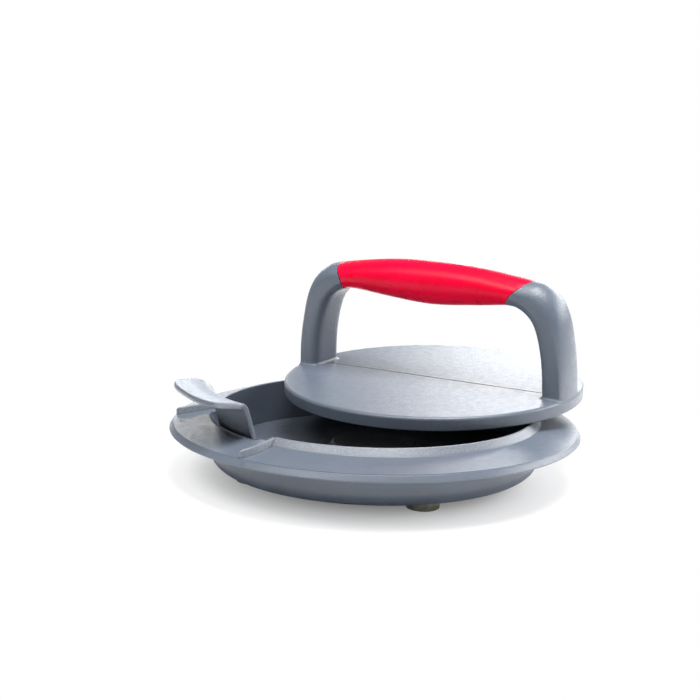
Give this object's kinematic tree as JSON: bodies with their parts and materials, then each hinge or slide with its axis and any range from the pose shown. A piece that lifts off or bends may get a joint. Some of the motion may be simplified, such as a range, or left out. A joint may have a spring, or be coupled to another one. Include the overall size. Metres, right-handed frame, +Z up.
{
  "type": "patty press",
  "caption": "Hand press for minced-meat patties: a round dish with a lift-out tray, and a loose press plate with an arched handle lying on its ring.",
  "frame": {"origin": "centre of the dish's flat underside, on the well's axis; the rubber feet reach 3.9 mm below it", "axes": "+Z up along the well's axis, -X towards the tray's thumb tab, +Y to complete a right-handed frame"},
  "size_m": [0.1641, 0.151, 0.0768],
  "materials": {
    "body": "satin blue-grey moulding with a fine sparkle texture",
    "tray": "satin light blue-grey moulding",
    "face": "satin dark blue-grey moulding",
    "grip": "smooth soft-touch red",
    "foot": "matt olive-grey rubber"
  },
  "bodies": {
    "base": {"base_dish": "body", "rubber_foot_1": "foot", "rubber_foot_2": "foot", "rubber_foot_3": "foot", "rubber_foot_4": "foot"},
    "tray": {"lift_tray": "tray"},
    "press": {"press_body": "body", "press_face_plate": "face", "grip_sleeve": "grip"}
  },
  "joints": [
    {"name": "tray_lift", "type": "slide", "parent": "base", "child": "tray", "axis": [0, 0, 1], "range_m": [0, 0.045]},
    {"name": "press_lift", "type": "slide", "parent": "tray", "child": "press", "axis": [-0.3448, -0.1397, 0.9282], "range_m": [0, 0.09]}
  ]
}
